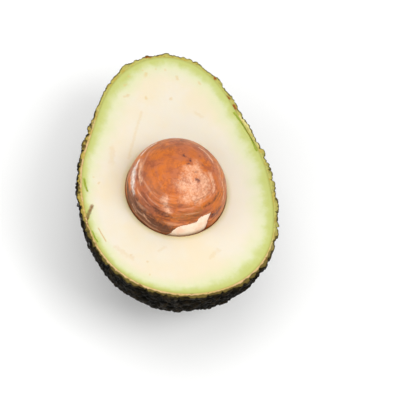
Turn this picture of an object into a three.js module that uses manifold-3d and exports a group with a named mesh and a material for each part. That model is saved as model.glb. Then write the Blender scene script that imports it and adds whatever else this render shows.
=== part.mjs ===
// Half an avocado, cut lengthwise round its seed, lying on its skin with the seed still in the flesh.
// Lengths are in millimetres, with +Z up. The fruit's long axis runs along Y, with the stem end at +Y.
// The cut face is level and faces up, and the skin rests on the small flat spot that its own weight has pressed.
// The fruit is made whole, as it grew, and is then halved by a knife cut along its middle plane.
import * as THREE from "three";
import { mergeVertices } from "three/addons/utils/BufferGeometryUtils.js";
import Module from "manifold-3d";

const manifold = await Module();
manifold.setup();

// Fruit
const FRUIT_REACHES = [47.6, 40.0, 32.1, 32.5, 37.3, 45.2, 47.6]; // to the skin's grooves, each 30 degrees from +Y
const FRUIT_DEPTH_SHARE = 1.06; // the fruit is this much deeper, along Z, than it is wide
const FRUIT_BOW = 1.5; // how far the bent long axis stands towards +X at the ends
const FRUIT_BOW_REACH = 48; // distance along Y at which it stands that far
const CUT_HEIGHT = 34.7; // from the flat spot up to the cut face

// Skin
const SKIN_THICKNESS = 1.2; // at the bottom of a groove
const PEBBLE_PITCH = 4.4; // about the distance between two pebbles of the skin
const PEBBLE_HEIGHT = 1.0; // the tallest pebble above its grooves
const PEBBLE_LEAST_SHARE = 0.45; // the lowest pebble as a share of the tallest
const PEBBLE_GROOVE = 2.0; // how gently a pebble rises from the groove beside it
const LATTICE_SALTS = [11, 23, 37, 53]; // draws for a pebble's three coordinates and its height

// Seed
const SEED_SHIFT = new THREE.Vector3(-0.4, -8.2, 0.5); // the seed's middle from the fruit's middle
const SEED_REACHES = [18.2, 17.6, 17.0, 16.9, 16.9]; // middle to seed coat, every 45 degrees from +Y to -Y
const COAT_THICKNESS = 0.6;
const TEAR_AZIMUTH = -82; // degrees round Z from +X, to the middle of the tear in the seed coat
// The torn edge as seen from outside, as distance along the seed to the right and height above the seed's middle.
const TEAR_OUTLINE = [
  [-7.6, -2.4],
  [-5.7, 2.0],
  [-4.5, 3.8],
  [-2.9, 4.6],
  [2.2, 5.2],
  [2.6, 6.1],
  [4.2, 6.7],
  [8.2, 6.0],
  [6.8, 3.6],
  [6.0, -2.4],
];

// Fit of one piece in the next, and mesh fineness
const CLEARANCE = 0.3; // between two pieces that touch
const SKIN_DIVISIONS = 27; // each edge of the icosahedron is divided into this many
const FLESH_DIVISIONS = 14;
const SEED_DIVISIONS = 10;
const KERNEL_DIVISIONS = 7;
const KNIFE_SIZE = 200; // the cutting block is larger than the fruit

const materials = {
  skin: new THREE.MeshStandardMaterial({ color: 0x23211a, roughness: 0.5, metalness: 0 }),
  flesh: new THREE.MeshStandardMaterial({ color: 0xefe8bf, roughness: 0.45, metalness: 0 }),
  seedCoat: new THREE.MeshStandardMaterial({ color: 0xa85a2c, roughness: 0.35, metalness: 0 }),
  seedKernel: new THREE.MeshStandardMaterial({ color: 0xe3cdb8, roughness: 0.5, metalness: 0 }),
};

// Reach at an angle from +Y: the smooth cosine series that passes through evenly spaced reaches.
function reachAt(reaches, angle) {
  const last = reaches.length - 1;
  const endShare = (i) => (i === 0 || i === last ? 0.5 : 1);
  let reach = 0;
  for (let term = 0; term <= last; term += 1) {
    let weight = 0;
    for (let station = 0; station <= last; station += 1) {
      weight += endShare(station) * reaches[station] * Math.cos((Math.PI * term * station) / last);
    }
    reach += (2 / last) * endShare(term) * weight * Math.cos(term * angle);
  }
  return reach;
}

// Random number from 0 to 1 that is always the same for one lattice cell and one salt.
function latticeDraw(i, j, k, salt) {
  let bits = Math.imul(i, 0x8da6b343) ^ Math.imul(j, 0xd8163841) ^ Math.imul(k, 0xcb1ab31f);
  bits ^= Math.imul(salt, 0x165667b1);
  bits = Math.imul(bits ^ (bits >>> 15), 0x2c1b3c6d);
  bits = Math.imul(bits ^ (bits >>> 12), 0x297a2d39);
  return ((bits ^ (bits >>> 15)) >>> 0) / 2 ** 32;
}

// Height of the skin's pebbles over a point. Each lattice cell holds one pebble centre, at a random place in it.
// A pebble is the part of the skin nearest to its centre, and it falls to a groove where two are as near.
function pebbleHeight(point) {
  const cell = point.clone().divideScalar(PEBBLE_PITCH).floor();
  let nearest = Infinity;
  let second = Infinity;
  let share = 0;
  for (let i = cell.x - 1; i <= cell.x + 1; i += 1) {
    for (let j = cell.y - 1; j <= cell.y + 1; j += 1) {
      for (let k = cell.z - 1; k <= cell.z + 1; k += 1) {
        const [dx, dy, dz, draw] = LATTICE_SALTS.map((salt) => latticeDraw(i, j, k, salt));
        const centre = new THREE.Vector3(i + dx, j + dy, k + dz).multiplyScalar(PEBBLE_PITCH);
        const distance = centre.distanceTo(point);
        if (distance < nearest) {
          second = nearest;
          nearest = distance;
          share = PEBBLE_LEAST_SHARE + (1 - PEBBLE_LEAST_SHARE) * draw;
        } else if (distance < second) {
          second = distance;
        }
      }
    }
  }
  const rise = Math.min((second - nearest) / PEBBLE_GROOVE, 1);
  return PEBBLE_HEIGHT * share * (1 - (1 - rise) ** 2);
}

// Point of the fruit in a direction from its middle, an inset inwards from the skin's grooves.
// The underside is pressed flat, so a deeper inset lies the same distance above the flat spot.
function fruitPoint(direction, inset) {
  const reach = reachAt(FRUIT_REACHES, Math.acos(direction.y)) - inset;
  const point = direction.clone().multiplyScalar(reach);
  point.z *= FRUIT_DEPTH_SHARE;
  point.x += FRUIT_BOW * (point.y / FRUIT_BOW_REACH) ** 2;
  point.z = Math.max(point.z, -CUT_HEIGHT + Math.max(inset, 0));
  return point;
}

function pebbledSkinPoint(direction) {
  return fruitPoint(direction, -pebbleHeight(fruitPoint(direction, 0)));
}

// Point of the seed coat's outside in a direction from the seed's middle, an inset inwards from it.
function seedPoint(direction, inset) {
  const reach = reachAt(SEED_REACHES, Math.acos(direction.y)) - inset;
  return direction.clone().multiplyScalar(reach).add(SEED_SHIFT);
}

// Manifold solid of a closed three.js geometry.
function solidOf(geometry) {
  const bare = geometry.clone();
  bare.deleteAttribute("normal");
  bare.deleteAttribute("uv");
  const merged = mergeVertices(bare, 1e-5);
  return new manifold.Manifold(
    new manifold.Mesh({
      numProp: 3,
      vertProperties: merged.attributes.position.array,
      triVerts: new Uint32Array(merged.index.array),
    }),
  );
}

// Solid whose surface is pointAt(direction) for every direction of an evenly divided sphere.
function roundSolid(divisions, pointAt) {
  const sphere = new THREE.IcosahedronGeometry(1, divisions - 1);
  const positions = sphere.attributes.position;
  const direction = new THREE.Vector3();
  for (let i = 0; i < positions.count; i += 1) {
    direction.fromBufferAttribute(positions, i).normalize();
    positions.setXYZ(i, ...pointAt(direction).toArray());
  }
  return solidOf(sphere);
}

// Lower half of a solid, cut at the fruit's middle plane.
function halved(solid) {
  const knife = new THREE.BoxGeometry(KNIFE_SIZE, KNIFE_SIZE, KNIFE_SIZE).translate(0, 0, KNIFE_SIZE / 2);
  return solid.subtract(solidOf(knife));
}

// Half of the skin: a shell with pebbles outside and a smooth inside.
function skinSolid() {
  const outside = roundSolid(SKIN_DIVISIONS, pebbledSkinPoint);
  const inside = roundSolid(FLESH_DIVISIONS, (direction) => fruitPoint(direction, SKIN_THICKNESS));
  return halved(outside.subtract(inside));
}

// Half of the flesh, with the hollow that the seed sits in.
function fleshSolid() {
  const outside = roundSolid(FLESH_DIVISIONS, (direction) => fruitPoint(direction, SKIN_THICKNESS + CLEARANCE));
  const hollow = roundSolid(SEED_DIVISIONS, (direction) => seedPoint(direction, -CLEARANCE));
  return halved(outside.subtract(hollow));
}

// Plug in the shape of the tear, pointing from the seed's middle out through its coat.
function tearSolid() {
  const outline = new THREE.Shape(TEAR_OUTLINE.map(([along, up]) => new THREE.Vector2(along, up)));
  const plug = new THREE.ExtrudeGeometry(outline, { depth: SEED_REACHES[0] + CLEARANCE, bevelEnabled: false });
  const facing = new THREE.Matrix4().makeRotationZ(THREE.MathUtils.degToRad(TEAR_AZIMUTH + 90));
  const upright = new THREE.Matrix4().makeRotationX(Math.PI / 2);
  plug.applyMatrix4(upright).applyMatrix4(facing);
  return solidOf(plug.translate(...SEED_SHIFT.toArray()));
}

// Brown papery coat of the seed, torn open where the pale kernel shows.
function seedCoatSolid() {
  const outside = roundSolid(SEED_DIVISIONS, (direction) => seedPoint(direction, 0));
  const inside = roundSolid(KERNEL_DIVISIONS, (direction) => seedPoint(direction, COAT_THICKNESS));
  return outside.subtract(inside).subtract(tearSolid());
}

// Pale kernel of the seed, inside the coat.
function seedKernelSolid() {
  return roundSolid(KERNEL_DIVISIONS, (direction) => seedPoint(direction, COAT_THICKNESS + CLEARANCE));
}

// Named mesh of a solid, raised so that the flat spot lies at z = 0.
function meshOf(name, solid, material) {
  const made = solid.getMesh();
  const geometry = new THREE.BufferGeometry();
  geometry.setAttribute("position", new THREE.BufferAttribute(made.vertProperties, 3));
  geometry.setIndex(new THREE.BufferAttribute(made.triVerts, 1));
  geometry.computeVertexNormals();
  const mesh = new THREE.Mesh(geometry, material);
  mesh.name = name;
  mesh.position.z = CUT_HEIGHT;
  return mesh;
}

const avocadoHalf = new THREE.Group();
avocadoHalf.add(meshOf("skin", skinSolid(), materials.skin));
avocadoHalf.add(meshOf("flesh", fleshSolid(), materials.flesh));
avocadoHalf.add(meshOf("seed_coat", seedCoatSolid(), materials.seedCoat));
avocadoHalf.add(meshOf("seed_kernel", seedKernelSolid(), materials.seedKernel));

// The origin goes under the middle of the skin's outline.
const middle = new THREE.Box3().setFromObject(avocadoHalf).getCenter(new THREE.Vector3());
for (const mesh of avocadoHalf.children) {
  mesh.position.x -= middle.x;
  mesh.position.y -= middle.y;
}

export default avocadoHalf;
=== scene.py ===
"""Half an avocado with its seed: pebbled skin, moist flesh and a papery seed coat, round the packed model."""

import itertools
import math

import bpy
import numpy as np
from bpy.props import FloatProperty, FloatVectorProperty, PointerProperty
from mathutils import Matrix, Vector


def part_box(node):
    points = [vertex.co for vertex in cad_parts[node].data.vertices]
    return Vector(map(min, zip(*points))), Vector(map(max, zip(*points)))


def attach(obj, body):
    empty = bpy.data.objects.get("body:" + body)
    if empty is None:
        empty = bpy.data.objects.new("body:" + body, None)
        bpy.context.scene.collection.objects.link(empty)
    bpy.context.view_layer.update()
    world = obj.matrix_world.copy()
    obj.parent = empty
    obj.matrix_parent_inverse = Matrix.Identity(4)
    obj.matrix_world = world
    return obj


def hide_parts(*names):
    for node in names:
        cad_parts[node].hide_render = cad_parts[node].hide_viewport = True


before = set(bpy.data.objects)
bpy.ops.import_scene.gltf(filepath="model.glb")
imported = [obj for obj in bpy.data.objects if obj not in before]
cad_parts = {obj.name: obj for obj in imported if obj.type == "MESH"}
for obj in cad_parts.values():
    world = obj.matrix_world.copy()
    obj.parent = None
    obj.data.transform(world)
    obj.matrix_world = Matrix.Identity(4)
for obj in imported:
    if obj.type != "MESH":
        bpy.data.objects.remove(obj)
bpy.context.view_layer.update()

bl_info = {
    "name": "Avocado half",
    "version": (1, 0, 0),
    "blender": (4, 5, 0),
    "location": "3D View > Sidebar > Avocado",
    "description": "Builds the skin, flesh and seed of half an avocado, and the stage that it lies on",
    "category": "Object",
}

MM = 0.001
PICTURE_WIDTH = 400  # pixels, and the picture is square
CUT_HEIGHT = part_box("flesh")[1].z
FULL_TURN = 2 * math.pi
RIGHT_ANGLE = math.pi / 2


def linear(hex_code):
    """Scene colour of a screen colour written as six hex digits."""
    shares = [int(hex_code[i : i + 2], 16) / 255 for i in (0, 2, 4)]
    return [s / 12.92 if s <= 0.04045 else ((s + 0.055) / 1.055) ** 2.4 for s in shares]


def length(name, description, millimetres):
    size = millimetres * MM
    return FloatProperty(name=name, description=description, default=size, unit="LENGTH", precision=5)


def lengths(name, description, millimetres):
    sizes = [size * MM for size in millimetres]
    return FloatVectorProperty(
        name=name, description=description, default=sizes, size=len(sizes), unit="LENGTH", precision=5
    )


def share(name, description, default):
    return FloatProperty(name=name, description=description, default=default, subtype="FACTOR", min=0, max=1)


def angle(name, description, degrees):
    return FloatProperty(name=name, description=description, default=math.radians(degrees), unit="ROTATION")


def colour(name, description, hex_code):
    return FloatVectorProperty(
        name=name, description=description, default=linear(hex_code), subtype="COLOR", size=3, min=0, max=1
    )


class FruitShape(bpy.types.PropertyGroup):
    """Outline of the whole fruit, measured from its middle to the grooves of its skin."""

    reaches: lengths(
        "Reaches",
        "From the fruit's middle to the skin, every 30 degrees from the stem end",
        (47.6, 40.0, 32.1, 32.5, 37.3, 45.2, 47.6),
    )
    depth_share: FloatProperty(name="Depth", description="Depth of the fruit over its width", default=1.06)
    bow: length("Bow", "How far the bent long axis stands aside at the ends", 1.5)
    bow_reach: length("Bow reach", "Distance along the fruit at which it stands that far", 48)
    clearance: length("Clearance", "Gap between two packed solids that touch", 0.3)


class SkinLook(bpy.types.PropertyGroup):
    """Sizes and colours of the skin."""

    thickness: length("Thickness", "Skin under the bottom of a groove", 1.2)
    pebble_pitch: length("Pebble pitch", "About the distance between two pebbles", 4.4)
    pebble_height: length("Pebble height", "Tallest pebble above its grooves", 1.0)
    pebble_least: share("Lowest pebble", "Lowest pebble as a share of the tallest", 0.45)
    pebble_groove: length("Pebble groove", "How gently a pebble rises from the groove beside it", 2.0)
    wart_pitch: length("Wart pitch", "About the distance between two warts on the pebbles", 2.0)
    wart_height: length("Wart height", "Tallest wart above the pebble that it grows on", 0.8)
    wart_groove: length("Wart groove", "How gently a wart rises from the groove beside it", 0.8)
    edge_round: length("Edge round", "Drop of the cut edge at the outside", 0.14)
    edge_waves: length("Edge waves", "Unevenness of the cut edge", 0.16)
    dark: colour("Dark skin", "Most of the outside", "100e08")
    brown: colour("Brown skin", "Browner patches of the outside", "2a2113")
    # Partly the warts' own tone, partly painted glints
    tip_and_glint: colour("Wart tips", "Tops of the warts", "4e4330")
    olive: colour("Olive skin", "Outside just below the cut, and the outer line of the cut edge", "5a4e28")
    rind: colour("Rind", "Cut edge of the skin where it is fresh", "bebc68")
    pale_rind: colour("Pale rind", "Cut edge of the skin where it has dried", "d9b884")
    gold: colour("Gold rind", "Yellower patches of the cut edge", "bfa548")
    tan: colour("Tan rind", "Outer part of the dried cut edge", "b49e4c")
    lifted: colour("Lifted rind", "Where the cut edge stands away from the flesh", "e2d68e")
    rust: colour("Rust", "Bruised specks of the cut edge", "7d5430")
    red_rust: colour("Red rust", "Bruised spots of the cut edge", "95501f")


class FleshLook(bpy.types.PropertyGroup):
    """Sizes and colours of the flesh."""

    seam: length("Seam", "Gap between the flesh and the skin", 0.01)
    edge_round: length("Edge round", "Radius of the flesh's edge along the skin", 0.2)
    lip_round: length("Lip round", "Radius of the hollow's edge", 0.3)
    seed_gap: length("Seed gap", "Gap between the flesh and the seed", 0.05)
    waves: length("Waves", "Depth of the soft waves that the knife left", 0.16)
    cream: colour("Cream", "Middle of the flesh", "e4dbc8")
    warm: colour("Warm cream", "Warmer patches in the middle", "e5d8bb")
    pale_green: colour("Pale green", "Between the cream and the green rim", "d6d9aa")
    green: colour("Green", "Rim of the flesh", "bcc268")
    edge_green: colour("Edge green", "Flesh that touches the skin", "aeae4e")
    # Partly a yellower tint of the flesh, partly painted shade of the seam round the seed
    hollow: colour("Hollow", "Flesh that touches the seed", "cfbf88")
    thread: colour("Thread", "Cut ends of the threads that run through the flesh", "d6b466")
    moss: colour("Moss", "Cracks between flesh and skin", "94a40c")
    streak: colour("Streak", "Faint tan scratch along the rim", "cba35e")
    bruise: colour("Bruise", "Brown gouge near the skin", "8e5c22")
    gouge_heart: colour("Gouge heart", "Duller middle of the gouge", "8c8444")
    gouge_tip: colour("Gouge tip", "Dark lower end of the gouge", "4c3a1a")


class SeedLook(bpy.types.PropertyGroup):
    """Sizes and colours of the seed."""

    reaches: lengths(
        "Reaches",
        "From the seed's middle to its coat, every 45 degrees from the stem end",
        (18.2, 17.6, 17.0, 16.9, 16.9),
    )
    shift: lengths("Shift", "The seed's middle from the fruit's middle", (-0.4, -8.2, 0.5))
    coat_thickness: length("Coat thickness", "Seed coat away from its torn edge", 0.6)
    torn_thickness: length("Torn thickness", "Seed coat at its torn edge", 0.14)
    tear_azimuth: angle("Tear azimuth", "Turn from the right hand side to the middle of the tear", -82)
    lumps: length("Lumps", "Depth of the seed's soft lumps", 0.22)
    creases: length("Creases", "Depth of the creases along the seed", 0.05)
    brown: colour("Brown coat", "Most of the seed coat", "be683a")
    orange: colour("Orange coat", "Brighter patches of the seed coat", "d06e1e")
    golden: colour("Golden coat", "Yellower patches of the seed coat", "a2602c")
    rosy: colour("Rosy coat", "Pinker patches of the seed coat", "96583c")
    red: colour("Red coat", "Redder patches of the seed coat", "a4522e")
    vein: colour("Vein", "Fine veins of the seed coat", "8c3f20")
    # Painted shade: darkens the lower left and the left edge of the seed coat
    umber_shade: colour("Umber coat", "Browner lower left of the seed coat", "784226")
    # Also painted shade in the coat's marks at the lower left and along the edges by the flesh
    dark: colour("Dark coat", "Darker patches and lines of the seed coat", "4e250e")
    # Pale pinkish bloom; in the coat's marks it also paints the lamps' soft sheen right of the seed's middle
    # and beside its left edge
    bloom_and_sheen: colour("Bloom", "Pale pinkish patches of the seed coat", "f2bc98")
    # Painted highlight: pale crescent along the seed's left edge and a thin pale line along its upper left
    # edge
    painted_highlight: colour("Film", "Dry whitish film on the seed coat", "f6e6dc")
    # Flecks, and also the painted shade of the long band along the coat's lower right edge
    plum_and_shade: colour("Plum", "Flecks on the seed coat", "5e3330")
    kernel: colour("Kernel", "Seed under the coat", "ffead4")
    kernel_pink: colour("Pink kernel", "Pinker patches of the kernel", "fdd8be")


class StageLook(bpy.types.PropertyGroup):
    """Camera, floor and lights."""

    tilt: angle("Tilt", "From straight above the cut face to the camera", 31)
    turn: angle("Turn", "From the blossom end round to the camera's left", 18)
    roll: angle("Roll", "Turn of the camera about its own line of sight", -8.5)
    target: length("Target", "From the fruit's middle towards its blossom end, to the camera's target", 8.2)
    distance: length("Distance", "Camera to its target", 564)
    picture_width: length("Picture width", "Width of the view at the target", 133.8)
    target_column: FloatProperty(name="Column", description="Pixel column of the target", default=177.4)
    target_row: FloatProperty(name="Row", description="Pixel row of the target", default=191.8)
    floor_size: length("Floor size", "Side of the floor", 4000)
    floor: colour("Floor", "Pale floor", "fbfbfa")


GROUPS = {
    "avocado_fruit": FruitShape,
    "avocado_skin": SkinLook,
    "avocado_flesh": FleshLook,
    "avocado_seed": SeedLook,
    "avocado_stage": StageLook,
}


# Marks, seen from above: half width of the mark and the places it runs through, in mm from the seed's middle
GOUGE = ((0.55, (-28.6, -3.3), (-29.5, -5.0), (-30.3, -6.5), (-30.8, -8.0)),)
GOUGE_HEART = ((0.32, (-29.8, -5.4), (-30.4, -7.2)),)
GOUGE_TIP = ((0.45, (-31.0, -8.5)),)
CRACKS = (
    (0.38, (-30.2, 7.2), (-30.1, 5.0), (-29.6, 2.5)),
    (0.26, (-29.5, -12.9), (-29.0, -15.2), (-28.3, -16.8)),
    (0.45, (24.3, 30.2), (26.5, 25.8), (28.4, 21.0), (29.8, 14.6)),
)
LIFTED_EDGE = ((0.5, (26.0, 28.6), (27.9, 25.0), (29.6, 21.0), (30.9, 16.5)),)
RUST_SPOTS = (
    (0.7, (19.6, 44.8)),
    (0.9, (22.5, 36.9), (23.0, 36.3)),
    (0.9, (24.5, 32.7), (24.7, 31.9)),
    (0.7, (-3.4, 55.0), (-1.9, 55.2)),
)
STREAKS = ((0.24, (-27.4, -12.0), (-26.8, -13.7), (-25.5, -17.0)),)
THREADS = (
    (0.6, (-4.3, 48.2), (-4.9, 47.0)),
    (0.5, (2.6, 49.2)),
    (0.4, (-0.7, 49.8)),
    (0.4, (-5.3, 49.6)),
    (0.5, (-10.5, 47.3)),
    (0.55, (-11.9, 43.9), (-12.4, 43.6)),
    (0.55, (-5.6, 38.3), (-5.5, 37.8)),
    (0.6, (-11.7, 39.5), (-12.8, 39.0)),
    (0.7, (3.0, 37.2)),
    (0.55, (6.3, 46.2), (6.3, 45.2)),
    (0.5, (14.0, 42.6), (13.6, 43.6)),
    (0.45, (-12.8, -25.4)),
    (0.4, (-17.8, -22.6)),
    (0.4, (-12.7, -30.3)),
    (0.35, (-27.0, 7.5)),
    (0.45, (-25.4, 5.3), (-25.6, 5.0)),
)
FAINT_THREADS = (
    (1.1, (-19.7, 18.3), (-20.3, 13.2)),
    (0.6, (10.6, 31.2), (13.0, 29.0)),
    (0.55, (-7.8, 32.2), (-10.6, 25.0), (-14.4, 14.2)),
    (0.6, (-6.3, -20.5), (-8.5, -21.7)),
    (0.8, (-17.5, -24.0), (-22.5, -19.5)),
    (0.8, (8.0, -25.5), (11.0, -23.0)),
)

# Nick in the rim: where it starts and ends, and its half width, in the same millimetres
CHIP = ((19.8, 42.6), (20.6, 40.6), 1.1)

# Marks of the seed coat in the same layout, in the order in which they are laid over each other
COAT_ORANGE = (
    (2.1, (-8.2, 5.9), (-5.0, 3.6), (-3.6, 0.4), (-7.0, -0.6)),
    (1.2, (-2.1, 4.7)),
    (1.8, (4.5, 7.2), (4.5, 3.3)),
    (1.8, (11.5, -2.9), (12.7, -6.0)),
    (1.2, (-3.8, -7.9), (-3.6, -11.1)),
)
COAT_GOLDEN = ((1.9, (-2.6, -14.9), (1.6, -14.6), (5.1, -13.3)),)
COAT_ROSY = (
    (2.8, (-12.6, 3.2), (-12.0, -2.6), (-10.5, -6.5)),
    (1.8, (-13.5, -6.2), (-11.8, -9.4), (-9.2, -11.7)),
    (1.5, (1.0, 9.5), (-3.0, 8.3), (-6.5, 9.3)),
    (2.0, (-8.6, -6.0), (-7.4, -9.5)),
)
# Painted shade: a browner, darker lower left and left edge of the seed coat
COAT_UMBER_SHADE = (
    (4.6, (-16.2, -4.6), (-14.2, -9.1), (-11.0, -12.8), (-6.6, -15.6)),
    (1.6, (-16.6, 2.0), (-16.6, -3.0)),
)
# Partly real dark streaks, partly painted shade: the strokes at the lower left, along the left edge and along
# the lower right by the flesh
COAT_DARK_AND_SHADE = (
    (3.0, (-14.8, -6.8), (-12.2, -11.2), (-8.6, -14.2), (-5.0, -15.8)),
    (1.6, (-9.6, -10.9), (-7.6, -13.0), (-4.8, -14.2)),
    (0.8, (-16.4, 3.3), (-16.8, -0.3), (-16.4, -4.2)),
    (0.6, (6.5, -12.2), (9.8, -10.3), (12.2, -7.1)),
)
# Bloom and painted sheen: the wide strokes right of the seed's middle and the stroke beside its left edge are
# painted sheen; the thin streaks at the lower left are real pale streaks
COAT_BLOOM_AND_SHEEN = (
    (1.6, (1.1, -1.6), (4.4, -1.4)),
    (3.4, (0.6, -6.7), (4.2, -7.9)),
    (2.4, (5.2, -10.1), (0.6, -11.0)),
    (1.5, (-6.6, -9.8), (-6.0, -11.6), (-5.2, -13.0)),
    (0.6, (7.3, 8.7), (9.7, 6.3), (11.3, 3.2)),
    (0.4, (14.1, -2.8), (14.7, -5.2), (14.2, -7.7)),
    (1.0, (-12.2, 5.2), (-13.3, 1.5), (-13.4, -2.0)),
    (2.5, (4.6, -0.5), (6.9, -4.5), (7.0, -8.0)),
    (3.0, (2.2, -3.8), (2.4, -9.4)),
    (1.2, (9.6, -2.5), (10.4, -7.0)),
    (0.4, (-12.9, -10.3), (-12.0, -11.7), (-10.8, -12.9)),
    (0.35, (-15.9, -5.5), (-14.8, -8.2)),
    (0.2, (-14.5, -3.4), (-12.9, -7.1), (-10.7, -10.2)),
)
# Painted highlight: a pale crescent along the seed's left edge, and a thin pale line along its upper left
# edge
COAT_PAINTED_HIGHLIGHT = (
    (1.9, (-14.2, 4.9), (-15.2, 2.1), (-15.5, -0.8)),
    (0.9, (-12.6, 7.2), (-14.3, 4.5)),
    (1.0, (-15.6, -0.8), (-15.5, -3.3)),
    (0.5, (-5.9, 12.9), (-8.7, 11.7), (-11.4, 9.4)),
)
COAT_PLUM_AND_SHADE = (
    (0.75, (1.2, 3.6), (1.2, 4.4)),
    (0.4, (1.2, 5.9)),
    (0.5, (2.0, 0.5), (2.6, 0.6)),
    (0.5, (3.2, 1.5), (3.4, 2.4)),
    (0.35, (4.0, -2.6), (5.0, -2.5)),
    (0.7, (4.4, -5.0), (5.0, -5.3)),
    (0.5, (7.2, 0.4)),
    (0.35, (6.7, 4.1)),
    (0.5, (1.7, 11.6)),
    (0.45, (1.8, -15.8)),
    (0.4, (0.5, -16.2)),
    (0.25, (-2.5, -15.7), (-0.6, -15.7)),
    # Painted shade: the long plum band along the lower right edge of the coat, by the flesh
    (1.1, (8.4, -14.1), (10.4, -12.7), (13.2, -9.9)),
)

# The torn edge of the seed coat in mm, to the right of the seed's middle and above it
LEFT_TEAR = ((-7.6, -2.4), (-5.7, 2.0), (-4.5, 3.8), (-2.9, 4.6), (2.2, 5.2))
RIGHT_TEAR = ((2.6, 6.1), (4.2, 6.7), (8.2, 6.0), (6.8, 3.6), (6.0, -2.4))
TEAR_OUTLINE = LEFT_TEAR + RIGHT_TEAR
TEAR_MIDDLE = (1.4, 1.9)

# Relief that has no field of its own
LATTICE_SALTS = (11, 23, 37, 53)  # draws for a pebble's three coordinates and its height
WART_LEAST = 0.3  # the lowest wart as a share of the tallest
WART_LEVEL = 0.6  # share of a wart's height that lies in the pebble
CHIP_DEPTH = 0.55 * MM
CHIP_REACH_DOWN = 0.7  # how fast the chip fades downwards, as a share of how fast it fades along the rim
KERNEL_GAP = 0.04 * MM
WALL_REACH = 34 * MM  # from the fruit's middle to its wall, to turn a height at the rim into an angle
FAR_OFF = 30 * MM  # stands for a distance that isn't measured

# Rows and columns of points
SKIN_AROUND, SKIN_ROWS, SKIN_INNER_ROWS = 660, 126, 14
FLESH_AROUND, WALL_ROWS, FACE_ROWS, HOLLOW_ROWS = 720, 22, 76, 18
COAT_AROUND, COAT_ROWS, COAT_INNER_ROWS = 480, 112, 30
KERNEL_AROUND, KERNEL_ROWS = 260, 110

# Formulas


def cosine_reach(reaches, angles):
    """Reach at an angle from the stem end: the smooth cosine series through evenly spaced reaches."""
    last = len(reaches) - 1
    stations = np.arange(last + 1)
    ends = np.where((stations == 0) | (stations == last), 0.5, 1.0)
    reach = np.zeros_like(angles)
    for term in stations:
        weight = np.sum(ends * np.array(reaches) * np.cos(np.pi * term * stations / last))
        reach += (2 / last) * ends[term] * weight * np.cos(term * angles)
    return reach


def lattice_draw(cells, salt):
    """Random number from 0 to 1 that is always the same for one lattice cell and one salt."""
    i, j, k = np.moveaxis(cells.astype(np.int64), -1, 0)
    bits = (i * 0x8DA6B343) ^ (j * 0xD8163841) ^ (k * 0xCB1AB31F) ^ (salt * 0x165667B1)
    bits = (bits & 0xFFFFFFFF).astype(np.uint32)
    bits = (bits ^ (bits >> 15)) * np.uint32(0x2C1B3C6D)
    bits = (bits ^ (bits >> 12)) * np.uint32(0x297A2D39)
    return (bits ^ (bits >> 15)) / 2**32


def pebbles(points, pitch, least, groove):
    """Height from 0 to 1 of pebbles over points. Each lattice cell holds one pebble centre at a random place.
    A pebble is the part nearest to its centre. It falls to a groove where two are as near, and its height is
    drawn too."""
    groove = groove / pitch
    scaled = points / pitch
    cells = np.floor(scaled)
    nearest = np.full(points.shape[:-1], np.inf)
    second = nearest.copy()
    height = np.zeros_like(nearest)
    for step in itertools.product((-1, 0, 1), repeat=3):
        neighbour = cells + step
        across, along, up, draw = (lattice_draw(neighbour, salt) for salt in LATTICE_SALTS)
        distance = np.linalg.norm(neighbour + np.stack([across, along, up], -1) - scaled, axis=-1)
        closer = distance < nearest
        second = np.where(closer, nearest, np.minimum(second, distance))
        height = np.where(closer, least + (1 - least) * draw, height)
        nearest = np.where(closer, distance, nearest)
    rise = np.minimum((second - nearest) / groove, 1)
    return height * (1 - (1 - rise) ** 2)


def soft_noise(points, pitch, salt):
    """Smooth noise from 0 to 1: the draws of the eight lattice corners round a point, eased together."""
    scaled = points / pitch
    corner = np.floor(scaled)
    ease = scaled - corner
    ease = ease * ease * (3 - 2 * ease)
    total = np.zeros(points.shape[:-1])
    for step in itertools.product((0, 1), repeat=3):
        weight = np.prod(np.where(np.array(step) == 1, ease, 1 - ease), axis=-1)
        total += weight * lattice_draw(corner + step, salt)
    return total


def layered_noise(points, pitch, salt, layers=3):
    """Noise from 0 to 1 of several layers, each half as wide and half as strong as the one before."""
    weights = [0.5**layer for layer in range(layers)]
    total = sum(w * soft_noise(points, pitch * w, salt + n) for n, w in enumerate(weights))
    return total / sum(weights)


def eased(values, low, high):
    """0 below low, 1 above high, and a smooth step between them."""
    steps = np.clip((values - low) / (high - low), 0, 1)
    return steps * steps * (3 - 2 * steps)


def strokes(marks):
    """Straight strokes of marks: start, end and half width in metres. A mark with one place is a spot."""
    for half_width, *places in marks:
        for start, end in zip(places, places[1:] or places):
            yield np.array(start) * MM, np.array(end) * MM, half_width * MM


def stroke_distance(points, start, end):
    """Distance in plan from points to a straight stroke."""
    run = end - start
    along = np.clip((points[..., :2] - start) @ run / max(run @ run, 1e-12), 0, 1)
    return np.linalg.norm(points[..., :2] - start - along[..., None] * run, axis=-1)


def grid_directions(polar, around):
    """Unit vectors. Rows go by the angle from straight down, and columns by the angle round the vertical."""
    polar, around = np.meshgrid(polar, around, indexing="ij")
    return np.stack([np.sin(polar) * np.cos(around), np.sin(polar) * np.sin(around), -np.cos(polar)], -1)


def fruit_points(fruit, directions, inset):
    """Points of the fruit from its middle: the reach at each angle from the long axis less the inset,
    deepened downwards, bowed aside by the square of the distance along it, and pressed flat underneath."""
    reach = cosine_reach(fruit.reaches, np.arccos(np.clip(directions[..., 1], -1, 1))) - inset
    points = directions * reach[..., None]
    points[..., 2] *= fruit.depth_share
    points[..., 0] += fruit.bow * (points[..., 1] / fruit.bow_reach) ** 2
    points[..., 2] = np.maximum(points[..., 2], -CUT_HEIGHT + np.maximum(inset, 0))
    return points


def seed_points(seed, directions, inset):
    """Points of the seed from its own middle: the reach at each angle from the long axis less the inset."""
    reach = cosine_reach(seed.reaches, np.arccos(np.clip(directions[..., 1], -1, 1))) - inset
    return directions * np.expand_dims(reach, -1)


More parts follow.
